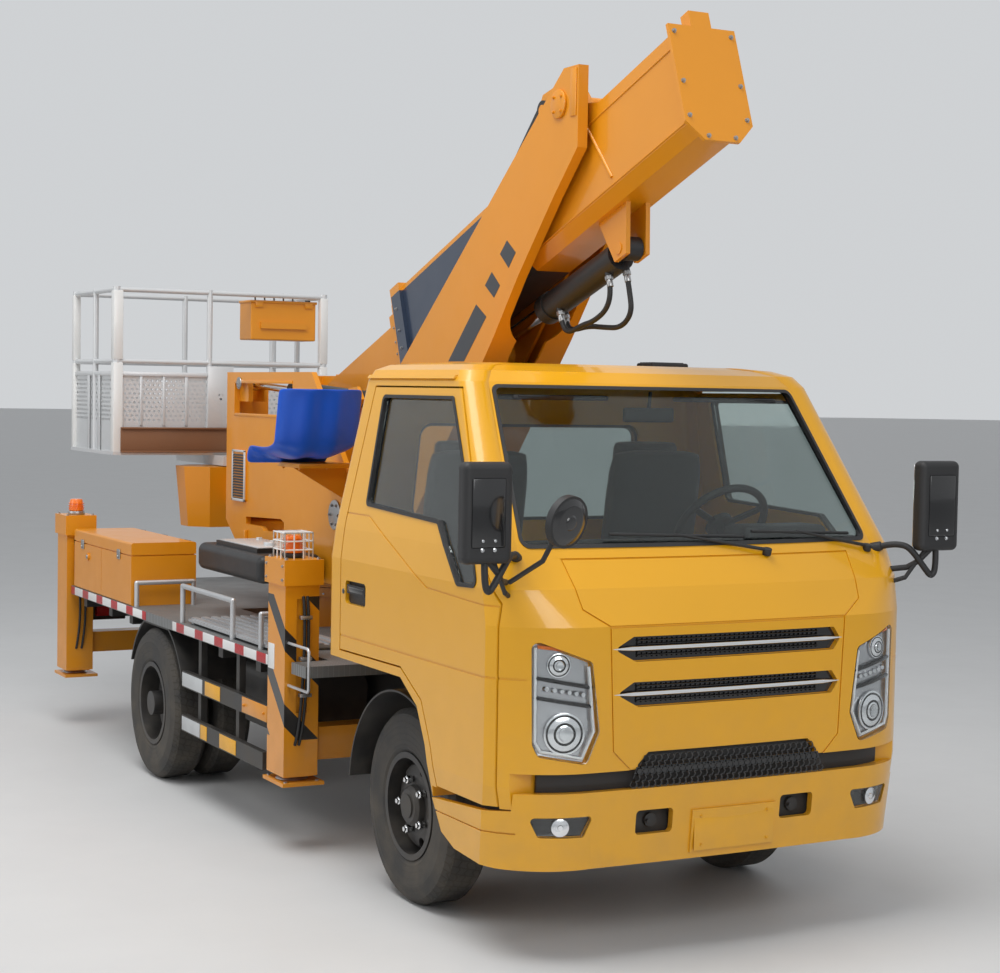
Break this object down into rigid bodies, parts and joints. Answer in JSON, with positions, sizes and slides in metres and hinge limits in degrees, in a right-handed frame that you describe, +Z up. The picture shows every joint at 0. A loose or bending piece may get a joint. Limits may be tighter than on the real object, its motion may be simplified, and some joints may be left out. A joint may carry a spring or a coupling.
{
  "type": "aerial work platform truck",
  "caption": "Small cab-over truck with slewing turntable, folding arm, telescopic boom, levelled basket and vertical outriggers, in its travel pose",
  "frame": {"origin": "middle of the bounding box's bottom face, on the floor under the tyres", "axes": "+X forward, +Y the vehicle's left, +Z up; the lengthwise axis is X"},
  "size_m": [6.4053, 2.196, 3.477],
  "materials": {
    "black_paint": "satin black",
    "black_plastic": "matte moulded",
    "blue_plastic": "moulded, glossy",
    "cast_dark": "rough cast",
    "chrome_rod": "polished",
    "clear_glass": "clear",
    "hose_rubber": "matte hydraulic hose",
    "lamp_plastic": "clear lamp lens",
    "orange_paint": "gloss machinery orange",
    "red_plastic": "lamp lens",
    "rubber_black": "matte tyre rubber",
    "seat_fabric": "woven seat cloth",
    "silver_paint": "satin silver",
    "tread_plate": "chequered, grey paint",
    "yellow_paint": "gloss golden yellow"
  },
  "bodies": {
    "truck": {"chassis_frame": "black_paint", "front_axle": "cast_dark", "rear_axle": "cast_dark", "power_unit": "cast_dark", "tanks": "black_paint", "side_guards": "black_paint", "cab_shell": "yellow_paint", "bumper": "yellow_paint", "cab_trim": "black_plastic", "deck_rails": "silver_paint", "cab_glass": "clear_glass", "cab_interior": "black_plastic", "cab_seats": "seat_fabric", "deck": "tread_plate", "toolboxes": "orange_paint", "mudguards": "black_plastic", "headlamps": "lamp_plastic", "rear_lamps": "red_plastic", "outrigger_frames": "orange_paint", "slew_pedestal": "orange_paint"},
    "door_left": {"door_left": "yellow_paint", "door_glass_left": "clear_glass", "door_trim_left": "black_plastic"},
    "door_right": {"door_right": "yellow_paint", "door_glass_right": "clear_glass", "door_trim_right": "black_plastic"},
    "knuckle_left": {"steering_knuckle_left": "cast_dark"},
    "knuckle_right": {"steering_knuckle_right": "cast_dark"},
    "wheel_front_left": {"tyre_front_left": "rubber_black", "rim_front_left": "silver_paint"},
    "wheel_front_right": {"tyre_front_right": "rubber_black", "rim_front_right": "silver_paint"},
    "wheels_rear_left": {"tyres_rear_left": "rubber_black", "rims_rear_left": "silver_paint"},
    "wheels_rear_right": {"tyres_rear_right": "rubber_black", "rims_rear_right": "silver_paint"},
    "outrigger_left": {"outrigger_front_left": "orange_paint"},
    "outrigger_right": {"outrigger_front_right": "orange_paint"},
    "leg_front_left": {"leg_front_left": "orange_paint"},
    "leg_front_right": {"leg_front_right": "orange_paint"},
    "leg_rear_left": {"leg_rear_left": "orange_paint"},
    "leg_rear_right": {"leg_rear_right": "orange_paint"},
    "turntable": {"turntable": "orange_paint", "operator_seat": "blue_plastic", "oil_tank": "black_paint"},
    "lower_arm": {"lower_arm": "orange_paint"},
    "tie_bars": {"tie_bars": "black_paint"},
    "knuckle_head": {"knuckle_head": "orange_paint"},
    "lift_rods": {"lift_rods": "chrome_rod"},
    "lift_barrels": {"lift_barrels": "black_paint"},
    "boom_base": {"boom_base": "orange_paint"},
    "boom_second": {"boom_second": "orange_paint"},
    "boom_third": {"boom_third": "orange_paint"},
    "boom_tip": {"boom_tip": "orange_paint"},
    "luff_barrel": {"luff_barrel": "black_paint", "luff_hoses": "hose_rubber"},
    "luff_rod": {"luff_rod": "chrome_rod"},
    "leveller": {"leveller": "orange_paint"},
    "basket": {"basket": "silver_paint", "basket_box": "orange_paint"}
  },
  "joints": [
    {"name": "door_left_hinge", "type": "hinge", "parent": "truck", "child": "door_left", "pos_m": [2.8293, 0.915, 1.3], "axis": [0, 0, -1], "range_deg": [0, 68]},
    {"name": "steer_left", "type": "hinge", "parent": "truck", "child": "knuckle_left", "pos_m": [1.9573, 0.61, 0.3875], "axis": [0, 0, 1], "range_deg": [-32, 32]},
    {"name": "wheel_front_left_spin", "type": "hinge", "parent": "knuckle_left", "child": "wheel_front_left", "pos_m": [1.9573, 0.723, 0.3875], "axis": [0, 1, 0], "continuous": true},
    {"name": "wheels_rear_left_spin", "type": "hinge", "parent": "truck", "child": "wheels_rear_left", "pos_m": [-0.8427, 0.75, 0.3875], "axis": [0, 1, 0], "continuous": true},
    {"name": "outrigger_left_slide", "type": "slide", "parent": "truck", "child": "outrigger_left", "axis": [0, 1, 0], "range_m": [0, 0.5]},
    {"name": "leg_front_left_slide", "type": "slide", "parent": "outrigger_left", "child": "leg_front_left", "axis": [0, 0, -1], "range_m": [0, 0.42]},
    {"name": "leg_rear_left_slide", "type": "slide", "parent": "truck", "child": "leg_rear_left", "axis": [0, 0, -1], "range_m": [0, 0.42]},
    {"name": "door_right_hinge", "type": "hinge", "parent": "truck", "child": "door_right", "pos_m": [2.8293, -0.915, 1.3], "axis": [0, 0, 1], "range_deg": [0, 68]},
    {"name": "steer_right", "type": "hinge", "parent": "truck", "child": "knuckle_right", "pos_m": [1.9573, -0.61, 0.3875], "axis": [0, 0, 1], "range_deg": [-32, 32]},
    {"name": "wheel_front_right_spin", "type": "hinge", "parent": "knuckle_right", "child": "wheel_front_right", "pos_m": [1.9573, -0.723, 0.3875], "axis": [0, 1, 0], "continuous": true},
    {"name": "wheels_rear_right_spin", "type": "hinge", "parent": "truck", "child": "wheels_rear_right", "pos_m": [-0.8427, -0.75, 0.3875], "axis": [0, 1, 0], "continuous": true},
    {"name": "outrigger_right_slide", "type": "slide", "parent": "truck", "child": "outrigger_right", "axis": [0, -1, 0], "range_m": [0, 0.5]},
    {"name": "leg_front_right_slide", "type": "slide", "parent": "outrigger_right", "child": "leg_front_right", "axis": [0, 0, -1], "range_m": [0, 0.42]},
    {"name": "leg_rear_right_slide", "type": "slide", "parent": "truck", "child": "leg_rear_right", "axis": [0, 0, -1], "range_m": [0, 0.42]},
    {"name": "slew", "type": "hinge", "parent": "truck", "child": "turntable", "pos_m": [-0.4927, 0, 1.03], "axis": [0, 0, 1], "range_deg": [-120, 120]},
    {"name": "arm_lift", "type": "hinge", "parent": "turntable", "child": "lower_arm", "pos_m": [0.1073, 0, 1.42], "axis": [0, -1, 0], "range_deg": [0, 43]},
    {"name": "tie_bar_swing", "type": "hinge", "parent": "turntable", "child": "tie_bars", "pos_m": [-0.0927, 0, 1.42], "axis": [0, -1, 0], "range_deg": [0, 43]},
    {"name": "knuckle_level", "type": "hinge", "parent": "lower_arm", "child": "knuckle_head", "pos_m": [1.9873, 0, 3.2], "axis": [0, 1, 0], "range_deg": [0, 43]},
    {"name": "lift_rod_swing", "type": "hinge", "parent": "turntable", "child": "lift_rods", "pos_m": [-1.2427, 0, 2.06], "axis": [0, 1, 0], "range_deg": [0, 5.76]},
    {"name": "lift_stroke", "type": "slide", "parent": "lift_rods", "child": "lift_barrels", "axis": [-0.9988, 0, 0.0482], "range_m": [0, 0.40625]},
    {"name": "boom_luff", "type": "hinge", "parent": "knuckle_head", "child": "boom_base", "pos_m": [1.9873, 0, 3.2], "axis": [0, 1, 0], "range_deg": [0, 60]},
    {"name": "luff_barrel_swing", "type": "hinge", "parent": "boom_base", "child": "luff_barrel", "pos_m": [2.2373, 0, 2.615], "axis": [0, -1, 0], "range_deg": [0, 80.74]},
    {"name": "luff_stroke", "type": "slide", "parent": "luff_barrel", "child": "luff_rod", "axis": [0.9475, 0, 0.3197], "range_m": [0, 0.52459]},
    {"name": "telescope", "type": "slide", "parent": "boom_base", "child": "boom_second", "axis": [-0.9397, 0, -0.342], "range_m": [0, 1.7]},
    {"name": "telescope_third", "type": "slide", "parent": "boom_second", "child": "boom_third", "axis": [-0.9397, 0, -0.342], "range_m": [0, 1.7]},
    {"name": "telescope_tip", "type": "slide", "parent": "boom_third", "child": "boom_tip", "axis": [-0.9397, 0, -0.342], "range_m": [0, 1.7]},
    {"name": "basket_level", "type": "hinge", "parent": "boom_tip", "child": "leveller", "pos_m": [-2.01261, 0, 1.44843], "axis": [0, -1, 0], "range_deg": [0, 60]},
    {"name": "basket_turn", "type": "hinge", "parent": "leveller", "child": "basket", "pos_m": [-2.1927, 0, 1.55], "axis": [0, 0, 1], "range_deg": [-90, 90]}
  ],
  "couplings": [
    {"joint": "steer_right", "follows": "steer_left", "ratio": 1},
    {"joint": "tie_bar_swing", "follows": "arm_lift", "ratio": 1},
    {"joint": "knuckle_level", "follows": "arm_lift", "ratio": 1},
    {"joint": "lift_rod_swing", "follows": "arm_lift", "ratio": 0.13382},
    {"joint": "lift_stroke", "follows": "arm_lift", "m_per_rad": 0.54065},
    {"joint": "luff_barrel_swing", "follows": "boom_luff", "ratio": 1.3454},
    {"joint": "luff_stroke", "follows": "boom_luff", "m_per_rad": 0.50047},
    {"joint": "basket_level", "follows": "boom_luff", "ratio": 1},
    {"joint": "telescope_third", "follows": "telescope", "ratio": 1},
    {"joint": "telescope_tip", "follows": "telescope", "ratio": 1}
  ]
}
